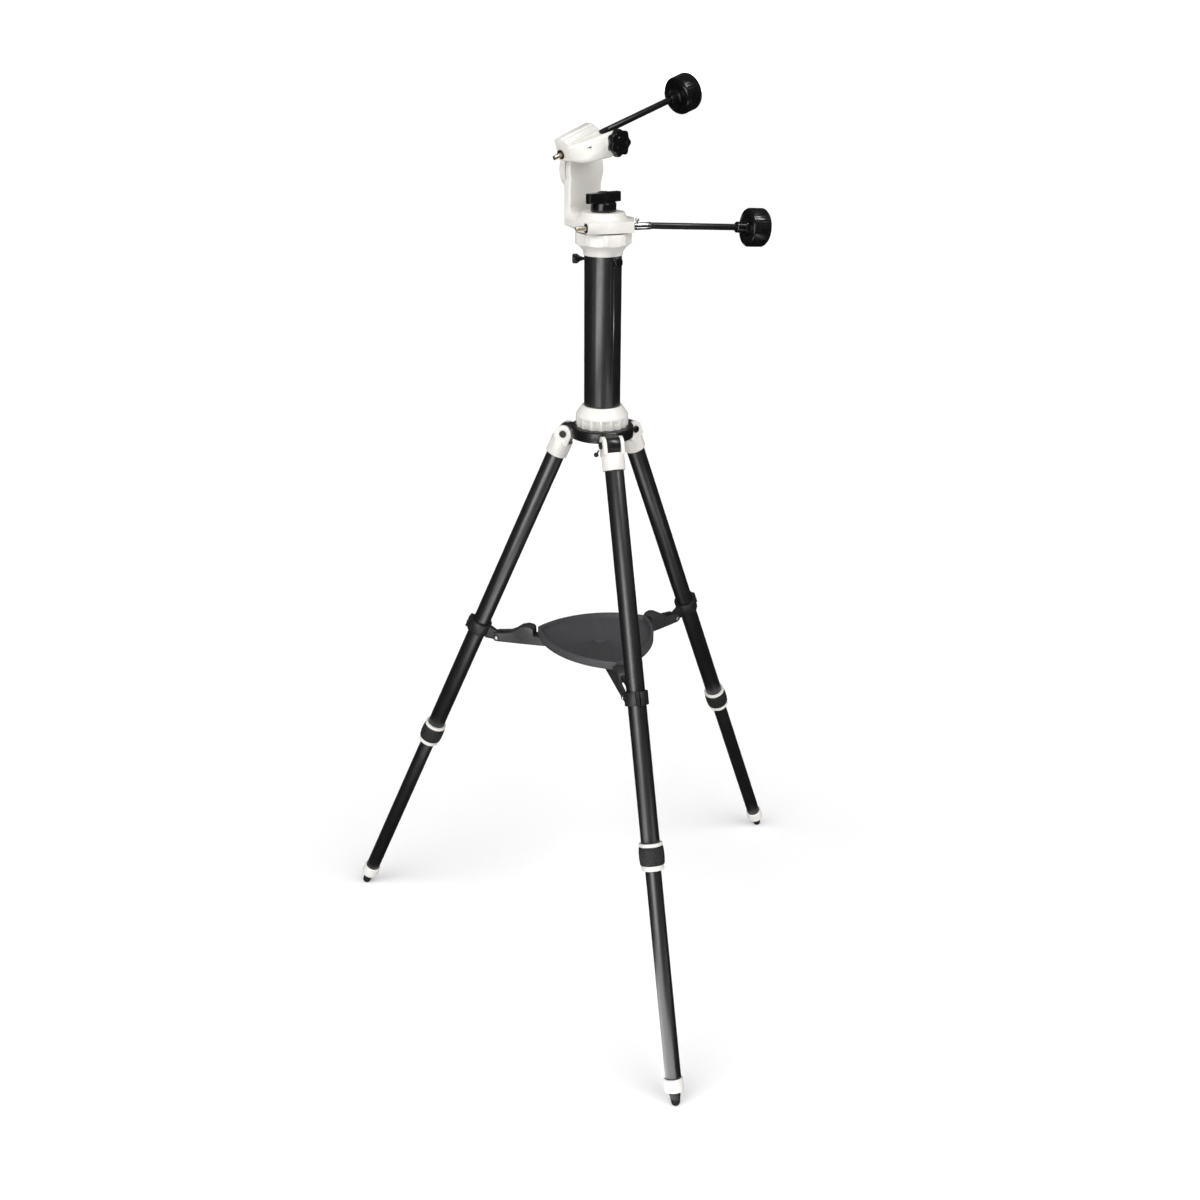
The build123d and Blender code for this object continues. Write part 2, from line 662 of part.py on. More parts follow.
def worm_piece(middle, along, side, near, far, tail, seat, front):
    """Threaded shaft: thread from near to far, plain shaft to front, turned down from seat to tail."""
    outline = [
        (0, tail), (SHAFT_END_R - 0.4, tail), (SHAFT_END_R, tail + 0.6), (SHAFT_END_R, seat),
        (SHAFT_R, seat), (SHAFT_R, near - 2),
    ]
    count = int((far - near) / THREAD_PITCH)
    outline.append((SHAFT_R + 0.8, near - 2))
    for i in range(count):
        start = near + i * THREAD_PITCH
        outline += [(THREAD_R - 1.5, start), (THREAD_R, start + 0.6), (THREAD_R, start + 1.2),
                    (THREAD_R - 1.5, start + 1.8)]
    outline += [(SHAFT_R + 0.8, far + 2), (SHAFT_R, far + 2), (SHAFT_R, front), (0, front)]
    return turned(outline, middle, along, side)


az_worm = worm_piece(
    worm_mid, worm_dir, worm_out, -13.0, 13.0, BOX_NEAR - 14.5, BOX_NEAR - SEAT, BOX_FAR + 13.0)
save(az_worm, "az_worm")

alt_dir = Vector(0, cos(radians(ALT_TILT)), sin(radians(ALT_TILT)))
alt_up = Vector(0, -sin(radians(ALT_TILT)), cos(radians(ALT_TILT)))
alt_start = Vector(ALT_WORM_X, ALT_WORM_Y, ALT_WORM_Z)
alt_axis = Vector(0, ALT_Y, ALT_Z)
ALT_MIDDLE = (alt_axis - alt_start).dot(alt_dir)
ALT_DISTANCE = -(alt_axis - alt_start).dot(alt_up)
ALT_WHEEL_R = ALT_DISTANCE - THREAD_R - GAP
alt_mid = alt_start + alt_dir * ALT_MIDDLE
BLOCK_LENGTH = 56.0
alt_worm = worm_piece(
    alt_mid, alt_dir, alt_up, -11.0, 11.0, -ALT_MIDDLE - 12.5, -ALT_MIDDLE - SEAT,
    BLOCK_LENGTH - ALT_MIDDLE + 13.0)
save(alt_worm, "alt_worm")


def bush(point, along, side):
    """Flanged shaft bush, its flange on the outside."""
    return turned(
        [
            (SHAFT_R + RUN, 1.4), (BUSH_R + 0.8, 1.4), (BUSH_R + 0.8, 0), (BUSH_R, 0), (BUSH_R, -8),
            (SHAFT_R + RUN, -8),
        ],
        point, along, side)


bushes = [
    bush(worm_mid + worm_dir * BOX_FAR, worm_dir, worm_out),
    bush(worm_mid + worm_dir * BOX_NEAR, worm_dir * -1, worm_out),
    bush(alt_start + alt_dir * BLOCK_LENGTH, alt_dir, alt_up),
    bush(alt_start, alt_dir * -1, alt_up),
]
save(Compound(children=bushes), "shaft_bushes")

# arm casting: round base, worm box and upright slab with a round head
SLAB_BOTTOM = BASE_BOTTOM + 5.0
SLAB_LEFT = -28.5
SLAB_RIGHT = 27.5
FOOT_REACH = -12.0
COUPLER_ROOM = 11.2
CAVITY_FRONT = -36.6
with BuildPart() as arm:
    # upright slab and its round head
    with BuildSketch(Plane.YZ.offset(ARM_BACK)):
        with BuildLine():
            Polyline(
                (SLAB_LEFT, SLAB_BOTTOM), (SLAB_RIGHT, SLAB_BOTTOM), (SLAB_RIGHT, 1152), (28.3, 1162),
                (ALT_Y + HEAD_R - 1.5, 1173), (ALT_Y + HEAD_R - 1.5, 1190),
                (ALT_Y - HEAD_R + 1.5, 1190), (ALT_Y - HEAD_R + 1.5, 1173),
                (-28.2, 1162), (SLAB_LEFT, 1152), close=True,
            )
        make_face()
        with Locations((ALT_Y, ALT_Z)):
            Circle(HEAD_R)
    extrude(amount=ARM_FRONT - ARM_BACK)
    fillet(arm.faces().sort_by(Axis.X)[-1].edges().filter_by(lambda e: e.center().Z > SLAB_BOTTOM + 1), 2.6)
    # room for the saddle disc behind the head
    with BuildSketch(Plane.YZ.offset(HEAD_BACK)):
        with Locations((ALT_Y, ALT_Z)):
            Circle(HEAD_R + 1.5)
    extrude(amount=-8.0, mode=Mode.SUBTRACT)
    # round base with the raised dial ring
    add(turned(
        [
            (0, BASE_BOTTOM), (BASE_R, BASE_BOTTOM), (BASE_R, BASE_TOP - 5.0), (36.2, BASE_TOP - 2.2),
            (34.2, BASE_TOP - 0.6), (31.6, BASE_TOP + 0.6), (29.6, BASE_TOP + 3.8),
            (DIAL_R + 0.3, BASE_TOP + 5.8), (DIAL_R, DIAL_TOP - 1.0), (DIAL_R - 1.0, DIAL_TOP),
            (0, DIAL_TOP),
        ],
        CENTRE, UP, X_OUT))
    # foot joining the slab to the base
    with BuildSketch(Plane.XY.offset(SLAB_BOTTOM)):
        with BuildLine():
            Polyline(
                (ARM_BACK, SLAB_LEFT), (FOOT_REACH, -35.0), (FOOT_REACH, 35.0), (ARM_BACK, SLAB_RIGHT),
                close=True,
            )
        make_face()
    with BuildSketch(Plane.XY.offset(BASE_BOTTOM)):
        with BuildLine():
            Polyline((-35.5, -20), (FOOT_REACH, -34.0), (FOOT_REACH, 34.0), (-35.5, 20), close=True)
        make_face()
    loft()
    with BuildSketch(Plane.XY.offset(SLAB_BOTTOM)):
        with BuildLine():
            Polyline(
                (ARM_BACK, SLAB_LEFT), (FOOT_REACH, -35.0), (FOOT_REACH, 35.0), (ARM_BACK, SLAB_RIGHT),
                close=True,
            )
        make_face()
    extrude(amount=BASE_TOP - SLAB_BOTTOM - 2)
    # blend from the slab's face down to the base
    with BuildSketch(Plane.XZ.offset(-SLAB_RIGHT)):
        with BuildLine():
            Polyline(
                (ARM_FRONT - 3, BASE_TOP - 2), (ARM_FRONT - 3, 1142), (ARM_FRONT, 1138), (-32.0, 1130),
                (-28.5, 1126.4), (-24, 1124.4), (-20, 1123.6), (-20, BASE_TOP - 2), close=True,
            )
        make_face()
    extrude(amount=SLAB_RIGHT - SLAB_LEFT)
    # worm box beside the base
    box_plane = Plane(origin=worm_mid, x_dir=worm_out, z_dir=worm_dir)
    with BuildSketch(box_plane.offset(BOX_NEAR)):
        with Locations((BOX_FACE - AZ_WORM_OFFSET - BOX_DEEP / 2, 0)):
            Rectangle(BOX_DEEP, 2 * BOX_HALF)
    extrude(amount=BOX_FAR - BOX_NEAR)
    # rounded shoulder from the base out to the far end of the worm box
    shoulder = [worm_out * 19 + worm_dir * (BOX_FAR - 0.4), worm_out * 6 + worm_dir * 41.0,
                worm_out * -20 + worm_dir * 30.0]
    with BuildSketch(Plane.XY.offset(BASE_BOTTOM + 0.6)):
        with BuildLine():
            ThreePointArc(*[flat(p) for p in shoulder])
            Polyline(flat(shoulder[2]), (0, 0), flat(shoulder[0]))
        make_face()
    extrude(amount=14.2)
    # cavity for the azimuth wheel, its worm bore, and the hole for the spindle
    with BuildSketch(Plane.XY.offset(BASE_BOTTOM - 1)):
        Circle(AZ_WHEEL_R + 1.6)
    extrude(amount=12.9, mode=Mode.SUBTRACT)
    with BuildSketch(Plane.XY.offset(BASE_BOTTOM)):
        Circle(SPINDLE_R + RUN)
    extrude(amount=40, mode=Mode.SUBTRACT)
    with BuildSketch(box_plane.offset(BOX_NEAR - 1)):
        Circle(BUSH_R)
    extrude(amount=BOX_FAR - BOX_NEAR + 2, mode=Mode.SUBTRACT)
    with BuildSketch(box_plane.offset(-16.5)):
        Circle(THREAD_R + 1.0)
    extrude(amount=33.0, mode=Mode.SUBTRACT)
    # room round the coupler beyond the worm box
    with BuildSketch(box_plane.offset(BOX_FAR)):
        Circle(COUPLER_ROOM)
    extrude(amount=30.0, mode=Mode.SUBTRACT)
    # cavity for the altitude wheel and the bore for its shaft
    with BuildSketch(Plane.YZ.offset(CAVITY_FRONT)):
        with Locations((ALT_Y, ALT_Z)):
            Circle(ALT_WHEEL_R + 1.4)
    extrude(amount=HEAD_BACK - 1 - CAVITY_FRONT, mode=Mode.SUBTRACT)
    with BuildSketch(Plane.YZ.offset(ARM_BACK)):
        with Locations((ALT_Y, ALT_Z)):
            Circle(JOURNAL_R + RUN)
    extrude(amount=9.4, mode=Mode.SUBTRACT)
    # channel for the altitude worm across the top of the head
    with BuildSketch(Plane(origin=alt_start, x_dir=X_OUT, z_dir=alt_dir)):
        with Locations((0, -2.0)):
            Rectangle(2 * THREAD_R + 2.0, 2 * THREAD_R + 8.0)
    extrude(amount=BLOCK_LENGTH, mode=Mode.SUBTRACT)
save(arm.part, "arm")

# ---------------------------------------------------------------- altitude block
BLOCK_BACK = -47.0
BLOCK_FRONT = -23.0
STAR_Y = 3.0
STAR_Z = 1218.4
BOSS_END = 20.0
BOSS_R = 14.2
LOCK_SCREW_R = 4.0
worm_section = Plane(origin=alt_start, x_dir=X_OUT, z_dir=alt_dir)
back = BLOCK_BACK - ALT_WORM_X
front = BLOCK_FRONT - ALT_WORM_X
with BuildPart() as alt_block:
    # section along the shaft: crowned top with two long steps
    with BuildSketch(worm_section):
        with BuildLine():
            Polyline(
                (back, 7.5), (back, -17.5), (back + 2.2, -20.0), (back + 13.0, -20.0), (back + 14.2, -18.6),
                (front - 5.2, -18.0), (front - 4.2, -16.6), (front - 0.6, -14.6), (front, -12.4),
                (front, 7.5), close=True,
            )
        make_face()
    extrude(amount=BLOCK_LENGTH)
    # fairing that narrows from the block's face to the round knob boss
    centre = alt_start + alt_dir * (BLOCK_LENGTH / 2) + alt_up * 0.6
    with BuildSketch(Plane.YZ.offset(BLOCK_FRONT - 0.5)):
        with Locations(Location((centre.Y, centre.Z), ALT_TILT)):
            RectangleRounded(BLOCK_LENGTH - 1.0, 21.0, 5.0)
    with BuildSketch(Plane.YZ.offset(-4.0)):
        with Locations(Location((-7.5, 1210.5), 9.0)):
            RectangleRounded(40.0, 28.0, 6.0)
    with BuildSketch(Plane.YZ.offset(BOSS_END - 6)):
        with Locations(Location((STAR_Y, STAR_Z), 9.0)):
            RectangleRounded(2 * BOSS_R, 2 * BOSS_R, BOSS_R - 0.2)
    loft()
    with BuildSketch(Plane.YZ.offset(BOSS_END - 6)):
        with Locations((STAR_Y, STAR_Z)):
            Circle(BOSS_R)
    extrude(amount=6)
    # seat on the round head, with the disc's space behind it
    with BuildSketch(Plane.YZ.offset(ARM_FRONT)):
        with Locations((ALT_Y, ALT_Z)):
            Circle(HEAD_R)
    extrude(amount=-30.0, mode=Mode.SUBTRACT)
    # shaft bore, wider round the thread
    with BuildSketch(worm_section.offset(-1)):
        Circle(BUSH_R)
    extrude(amount=BLOCK_LENGTH + 2, mode=Mode.SUBTRACT)
    with BuildSketch(worm_section.offset(ALT_MIDDLE - 15)):
        Circle(THREAD_R + 1.0)
    extrude(amount=30, mode=Mode.SUBTRACT)
    # bore for the lock screw
    with BuildSketch(Plane.YZ.offset(BOSS_END - 22)):
        with Locations((STAR_Y, STAR_Z)):
            Circle(LOCK_SCREW_R + RUN)
    extrude(amount=30, mode=Mode.SUBTRACT)
save(alt_block.part, "alt_block")

# ---------------------------------------------------------------- altitude wheel and saddle
DISC_FRONT = -45.8
DISC_BACK = -57.0
DISC_R = 29.0
PLATE_FRONT = -52.5
JAW_BACK = -69.0
SADDLE_FROM = -4.0
SADDLE_TO = 32.0
GROOVE_HALF = 22.0
GROOVE_SLOPE = 3.2
JAW_OPEN = 4.0
SCREW_X = -63.0
FLANGE_FACE = -53.4
SCREW_WALL = 36.0
SADDLE_Y = (SADDLE_FROM + SADDLE_TO) / 2
AXLE_R = 8.0
alt_centre = Plane(origin=(0, ALT_Y, ALT_Z), x_dir=(0, 1, 0), z_dir=X_OUT)
with BuildPart() as alt_wheel:
    with BuildSketch(alt_centre.offset(-42.0)):
        with BuildLine():
            Polyline(*toothed(ALT_WHEEL_R, 1.6, ALT_TEETH, 0.36), close=True)
        make_face()
    extrude(amount=4.8)
    # axle: a journal in the head, then one in the saddle disc and its end flange
    add(turned(
        [
            (0, FLANGE_FACE - 3.4), (11.4, FLANGE_FACE - 3.4), (11.4, FLANGE_FACE), (AXLE_R, FLANGE_FACE),
            (AXLE_R, -44.9), (13.0, -44.9), (13.0, -41.0), (JOURNAL_R, -41.0), (JOURNAL_R, -35.9),
            (0, -35.9),
        ],
        alt_axis, X_OUT, UP))
save(alt_wheel.part, "alt_wheel")

# saddle: round disc, plate, fixed jaw and the wall that carries the clamp screw
with BuildPart() as saddle:
    with BuildSketch(alt_centre.offset(DISC_FRONT)):
        Circle(DISC_R)
    extrude(amount=DISC_BACK - DISC_FRONT)
    chamfer(saddle.edges().filter_by(GeomType.CIRCLE), 0.8)
    with BuildSketch(Plane.YZ.offset(DISC_BACK)):
        with Locations((SADDLE_Y, ALT_Z - 2.5)):
            Rectangle(SADDLE_TO - SADDLE_FROM, 67.0)
    extrude(amount=PLATE_FRONT - DISC_BACK)
    with BuildSketch(Plane.XZ.offset(-SADDLE_TO)):
        with BuildLine():
            Polyline(
                (DISC_BACK, ALT_Z + GROOVE_HALF), (JAW_BACK, ALT_Z + GROOVE_HALF - GROOVE_SLOPE),
                (JAW_BACK, ALT_Z + 28), (JAW_BACK + 3, ALT_Z + 31), (DISC_BACK, ALT_Z + 31), close=True,
            )
        make_face()
        with BuildLine():
            Polyline(
                (DISC_BACK, ALT_Z - SCREW_WALL), (JAW_BACK + 1, ALT_Z - SCREW_WALL),
                (JAW_BACK + 1, ALT_Z - 32.5), (DISC_BACK, ALT_Z - 32.5), close=True,
            )
        make_face()
    extrude(amount=SADDLE_TO - SADDLE_FROM)
    with BuildSketch(alt_centre.offset(JAW_BACK)):
        Circle(AXLE_R + RUN)
    extrude(amount=30, mode=Mode.SUBTRACT)
    with BuildSketch(alt_centre.offset(FLANGE_FACE + 0.2)):
        Circle(12.2)
    extrude(amount=-8, mode=Mode.SUBTRACT)
    with BuildSketch(Plane.XY.offset(ALT_Z - 40)):
        with Locations((SCREW_X, SADDLE_Y)):
            Circle(SHAFT_R + RUN)
    extrude(amount=10, mode=Mode.SUBTRACT)
save(saddle.part, "saddle")

jaw_top = ALT_Z - GROOVE_HALF - JAW_OPEN
with BuildPart() as saddle_jaw:
    with BuildSketch(Plane.XZ.offset(-SADDLE_TO + 1)):
        with BuildLine():
            Polyline(
                (DISC_BACK - GAP, jaw_top), (JAW_BACK, jaw_top + GROOVE_SLOPE),
                (JAW_BACK, ALT_Z - 31.0), (DISC_BACK - GAP, ALT_Z - 31.0), close=True,
            )
        make_face()
    extrude(amount=SADDLE_TO - SADDLE_FROM - 2)
    with BuildSketch(Plane.XY.offset(ALT_Z - 40)):
        with Locations((SCREW_X, SADDLE_Y)):
            Circle(SHAFT_R + RUN)
    extrude(amount=13.2, mode=Mode.SUBTRACT)
save(saddle_jaw.part, "saddle_jaw")

screw_origin = Vector(SCREW_X, SADDLE_Y, ALT_Z - SCREW_WALL)
with BuildPart() as saddle_screw:
    add(turned(
        [
            (0, -21.0), (8.0, -21.0), (9.0, -20.0), (9.0, -8.0), (7.6, -6.6), (5.0, -6.0), (5.0, -GAP),
            (SHAFT_R, -GAP), (SHAFT_R, 8.6), (0, 8.6),
        ],
        screw_origin, UP, X_OUT))
    with BuildSketch(Plane(origin=screw_origin - UP * 19.5, x_dir=X_OUT, z_dir=UP)):
        with BuildLine():
            Polyline(*wavy(10.4, 1.6, 8, 6), close=True)
        make_face()
    extrude(amount=11.0)
save(saddle_screw.part, "saddle_screw")

# ---------------------------------------------------------------- clutch and lock knobs
STAR_R = 17.4
STAR_LOBES = 7
star_centre = Vector(0, STAR_Y, STAR_Z)
star_plane = Plane(origin=star_centre, x_dir=(0, 1, 0), z_dir=X_OUT)
with BuildPart() as star_knob:
    with BuildSketch(star_plane.offset(BOSS_END + 1.2)):
        with BuildLine():
            Polyline(*wavy(STAR_R, 2.8, STAR_LOBES, 10), close=True)
        make_face()
    extrude(amount=8.2)
    fillet(star_knob.faces().sort_by(Axis.X)[-1].edges(), 1.2)
    # dished face with a round cap in it
    dish = [(0, BOSS_END + 8.0), (9.6, BOSS_END + 8.0), (10.2, BOSS_END + 9.9), (0, BOSS_END + 9.9)]
    add(turned(dish, star_centre, X_OUT, UP), mode=Mode.SUBTRACT)
    cap = [
        (0, BOSS_END + 7.5), (8.0, BOSS_END + 7.5), (8.0, BOSS_END + 8.8), (7.0, BOSS_END + 9.4),
        (0, BOSS_END + 9.6),
    ]
    add(turned(cap, star_centre, X_OUT, UP))
    stud = [
        (0, BOSS_END - 18.0), (LOCK_SCREW_R, BOSS_END - 18.0), (LOCK_SCREW_R, BOSS_END + GAP),
        (9.0, BOSS_END + GAP), (10.0, BOSS_END + 1.6), (0, BOSS_END + 1.6),
    ]
    add(turned(stud, star_centre, X_OUT, UP))
save(star_knob.part, "star_knob")

CLUTCH_R = 16.9
WING = 27.6
WING_BASE = 11.3
WING_TOP = 23.8
CLUTCH_FOOT = DIAL_TOP + GAP
with BuildPart() as clutch_knob:
    with BuildSketch(Plane.XY.offset(CLUTCH_FOOT + WING_BASE)):
        with BuildLine():
            Polyline(
                (-4.4, -WING), (4.4, -WING), (6.2, -12), (6.2, 12), (4.4, WING), (-4.4, WING),
                (-6.2, 12), (-6.2, -12), close=True,
            )
        make_face()
    extrude(amount=WING_TOP - WING_BASE)
    fillet(clutch_knob.edges().filter_by(Axis.Z), 1.2)
    fillet(clutch_knob.faces().sort_by(Axis.Z)[-1].edges(), 1.0)
    add(turned(
        [
            (0, CLUTCH_FOOT), (CLUTCH_R - 0.8, CLUTCH_FOOT), (CLUTCH_R, CLUTCH_FOOT + 1),
            (CLUTCH_R, CLUTCH_FOOT + 10.7), (CLUTCH_R - 0.8, CLUTCH_FOOT + 11.5), (0, CLUTCH_FOOT + 11.5),
        ],
        CENTRE, UP, X_OUT))
    add(turned(
        [
            (0, CLUTCH_FOOT + 8), (8.0, CLUTCH_FOOT + 8), (8.0, CLUTCH_FOOT + WING_TOP + 0.2),
            (7.2, CLUTCH_FOOT + WING_TOP + 1.0), (5.2, CLUTCH_FOOT + WING_TOP + 1.0),
            (5.2, CLUTCH_FOOT + WING_TOP + 0.4), (0, CLUTCH_FOOT + WING_TOP + 0.4),
        ],
        CENTRE, UP, X_OUT))
    with BuildSketch(Plane.XY.offset(CLUTCH_FOOT - 1)):
        Circle(STUD_R + RUN)
    extrude(amount=DIAL_TOP + 11 - CLUTCH_FOOT + 1, mode=Mode.SUBTRACT)
save(clutch_knob.part, "clutch_knob")

# ---------------------------------------------------------------- slow-motion controls
COUPLER_START = 1.8
COUPLER_END = 26.5
COUPLER_R = 4.7
KNOB_RIBS = 42


def coupler(origin, along, side, name, nose):
    """Sleeve on the end of a worm shaft, held by a small thumb screw."""
    screw_at = origin + along * (COUPLER_START + 5.0)
    with BuildPart() as sleeve:
        add(turned(
            [
                (SHAFT_R, COUPLER_START), (COUPLER_R - 0.5, COUPLER_START),
                (COUPLER_R, COUPLER_START + 0.5), (COUPLER_R, COUPLER_START + 14),
                (nose, COUPLER_START + 16), (nose, COUPLER_END - 0.6), (nose - 0.6, COUPLER_END),
                (3.3, COUPLER_END), (3.3, 14.0), (SHAFT_R, 14.0),
            ],
            origin, along, side))
    screw = turned(
        [(0, COUPLER_R), (1.3, COUPLER_R), (1.3, 6.4), (2.5, 6.9), (2.7, 9.4), (2.3, 10.0), (0, 10.0)],
        screw_at, side, along)
    save(Compound(children=[sleeve.part, screw]), name)


def hand_shaft(origin, along, side, cable_name, knob_name):
    """Stiff cable from inside the coupler's mouth to its ribbed knob."""
    length = CABLE_LENGTH
    end = length + KNOB_LENGTH
    cable = turned(
        [
            (0, -8.0), (2.1, -8.0), (2.1, 0.9), (CABLE_R - 0.4, 0.9), (CABLE_R, 1.3),
            (CABLE_R, length + 12), (0, length + 12),
        ],
        origin, along, side)
    save(cable, cable_name)
    with BuildPart() as knob:
        add(turned(
            [
                (CABLE_R, length - 16), (6.4, length - 16), (7.2, length - 15), (7.4, length - 4),
                (9.6, length - 3), (9.6, length + 1.5), (14.0, length + 1.5), (15.0, length + 0.6),
                (19.0, length + 0.6), (20.0, length + 1.8), (KNOB_R - 2.6, length + 1.8),
                (KNOB_R - 1.6, length), (KNOB_R - 0.9, length + 1.2), (KNOB_R - 0.9, end - 3.4),
                (KNOB_R - 3.6, end - 0.6), (KNOB_R - 5.0, end), (0, end),
                (0, length + 12), (CABLE_R, length + 12),
            ],
            origin, along, side))
        rib_plane = Plane(origin=origin + along * (length + 2.4), x_dir=side, z_dir=along)
        with BuildSketch(rib_plane):
            with BuildLine():
                Polyline(*toothed(KNOB_R, 1.3, KNOB_RIBS, 0.5), close=True)
            make_face()
            Circle(KNOB_R - 3.0, mode=Mode.SUBTRACT)
        extrude(amount=KNOB_LENGTH - 7.6)
    save(knob.part, knob_name)


az_droop = radians(AZ_CABLE_DROOP)
alt_droop = radians(ALT_CABLE_DROOP)
az_mouth = worm_mid + worm_dir * BOX_FAR
az_hand_origin = az_mouth + worm_dir * COUPLER_END
az_hand_dir = worm_dir * cos(az_droop) - UP * sin(az_droop)
az_hand_up = UP * cos(az_droop) + worm_dir * sin(az_droop)
coupler(az_mouth, worm_dir, UP, "az_coupler", COUPLER_R)
hand_shaft(az_hand_origin, az_hand_dir, az_hand_up, "az_cable", "az_knob")

alt_mouth = alt_start + alt_dir * BLOCK_LENGTH
alt_hand_origin = alt_mouth + alt_dir * COUPLER_END
alt_hand_dir = alt_dir * cos(alt_droop) - alt_up * sin(alt_droop)
alt_hand_up = alt_up * cos(alt_droop) + alt_dir * sin(alt_droop)
coupler(alt_mouth, alt_dir, alt_up, "alt_coupler", 4.4)
hand_shaft(alt_hand_origin, alt_hand_dir, alt_hand_up, "alt_cable", "alt_knob")

for name, where, direction in (
    ("azimuth worm", worm_mid, worm_dir), ("azimuth hand shaft", az_hand_origin, az_hand_dir),
    ("altitude worm", alt_start, alt_dir), ("altitude hand shaft", alt_hand_origin, alt_hand_dir),
):
    print(f"{name}: point {where.X / 1000:.5f} {where.Y / 1000:.5f} {where.Z / 1000:.5f}"
          f" direction {direction.X:.6f} {direction.Y:.6f} {direction.Z:.6f}")
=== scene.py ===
"""Alt-azimuth mount: materials, small trim pieces, light and camera around the CAD frame.

Everything is in metres in the row frame: the origin is on the floor under the pillar, +Z up,
+X along the altitude axis, away from the saddle.
"""
import json
from math import cos, pi, radians, sin

import bmesh
import bpy
from mathutils import Euler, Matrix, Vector


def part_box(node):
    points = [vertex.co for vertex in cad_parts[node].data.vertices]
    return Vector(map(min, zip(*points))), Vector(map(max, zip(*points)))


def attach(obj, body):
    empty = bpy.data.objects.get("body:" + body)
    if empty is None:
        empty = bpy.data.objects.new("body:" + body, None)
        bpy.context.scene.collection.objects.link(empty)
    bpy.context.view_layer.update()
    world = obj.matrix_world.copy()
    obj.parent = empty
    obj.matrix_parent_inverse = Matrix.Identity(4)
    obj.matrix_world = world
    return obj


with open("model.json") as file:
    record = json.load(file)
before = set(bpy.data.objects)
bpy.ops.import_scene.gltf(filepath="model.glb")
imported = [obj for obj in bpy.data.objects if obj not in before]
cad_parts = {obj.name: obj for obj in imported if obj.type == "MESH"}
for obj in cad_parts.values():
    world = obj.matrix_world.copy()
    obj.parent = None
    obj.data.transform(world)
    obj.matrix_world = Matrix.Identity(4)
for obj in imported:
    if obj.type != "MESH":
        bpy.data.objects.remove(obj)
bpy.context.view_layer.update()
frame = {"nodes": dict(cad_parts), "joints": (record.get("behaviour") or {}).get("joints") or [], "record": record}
NODES = frame["nodes"]
JOINTS = {joint["name"]: joint for joint in frame["joints"]}
MM = 0.001
UP = Vector((0, 0, 1))
LEGS = ("a", "b", "c")


# ---------------------------------------------------------------- material building blocks
class Nodes:
    """A material's node tree, with short calls for the nodes used here."""

    def __init__(self, name):
        self.material = bpy.data.materials.new(name)
        self.material.use_nodes = True
        self.tree = self.material.node_tree
        self.shader = self.tree.nodes["Principled BSDF"]
        self.place = self.tree.nodes.new("ShaderNodeTexCoord").outputs["Object"]

    def link(self, source, target):
        self.tree.links.new(source, target)

    def noise(self, scale, detail=3.0, roughness=0.55, place=None):
        """Soft noise; scale is features per metre."""
        node = self.tree.nodes.new("ShaderNodeTexNoise")
        node.inputs["Scale"].default_value = scale
        node.inputs["Detail"].default_value = detail
        node.inputs["Roughness"].default_value = roughness
        self.link(place or self.place, node.inputs["Vector"])
        return node.outputs["Fac"]

    def turning(self, axis, scale):
        """Fine rings round an axis, as a lathe leaves them."""
        dot = self.tree.nodes.new("ShaderNodeVectorMath")
        dot.operation = "DOT_PRODUCT"
        dot.inputs[1].default_value = axis
        self.link(self.place, dot.inputs[0])
        node = self.tree.nodes.new("ShaderNodeTexNoise")
        node.noise_dimensions = "1D"
        node.inputs["Scale"].default_value = scale
        node.inputs["Detail"].default_value = 4.0
        self.link(dot.outputs["Value"], node.inputs["W"])
        return node.outputs["Fac"]

    def spread(self, source, low, high, start=0.3, end=0.7):
        """Maps noise to a range of values."""
        node = self.tree.nodes.new("ShaderNodeMapRange")
        node.inputs["From Min"].default_value = start
        node.inputs["From Max"].default_value = end
        node.inputs["To Min"].default_value = low
        node.inputs["To Max"].default_value = high
        self.link(source, node.inputs["Value"])
        return node.outputs["Result"]

    def tint(self, source, low, high):
        """Runs the base colour between two colours."""
        node = self.tree.nodes.new("ShaderNodeValToRGB")
        node.color_ramp.elements[0].position = 0.3
        node.color_ramp.elements[0].color = (*low, 1)
        node.color_ramp.elements[1].position = 0.7
        node.color_ramp.elements[1].color = (*high, 1)
        self.link(source, node.inputs["Fac"])
        self.link(node.outputs["Color"], self.shader.inputs["Base Color"])

    def rough(self, source, low, high):
        self.link(self.spread(source, low, high), self.shader.inputs["Roughness"])

    def bump(self, source, height, strength=1.0):
        """Adds relief of a height in metres, on top of any relief already there."""
        node = self.tree.nodes.new("ShaderNodeBump")
        node.inputs["Distance"].default_value = height
        node.inputs["Strength"].default_value = strength
        self.link(source, node.inputs["Height"])
        before = self.shader.inputs["Normal"]
        if before.is_linked:
            self.link(before.links[0].from_socket, node.inputs["Normal"])
        self.link(node.outputs["Normal"], before)

    def set(self, **values):
        """Values that are the same all over, straight on the shader's sockets."""
        for name, value in values.items():
            self.shader.inputs[name.replace("_", " ")].default_value = value


def ivory_paint():
    """Warm white powder coat: faint orange peel, slight cloudiness, satin."""
    m = Nodes("ivory_paint")
    m.tint(m.noise(28, 4), (0.70, 0.68, 0.645), (0.74, 0.72, 0.685))
    m.rough(m.noise(160), 0.34, 0.46)
    m.bump(m.noise(1300, 2), 0.00003, 0.5)
    m.bump(m.noise(420, 1), 0.00004, 0.35)
    m.set(Coat_Weight=0.18, Coat_Roughness=0.22, IOR=1.5)
    return m.material


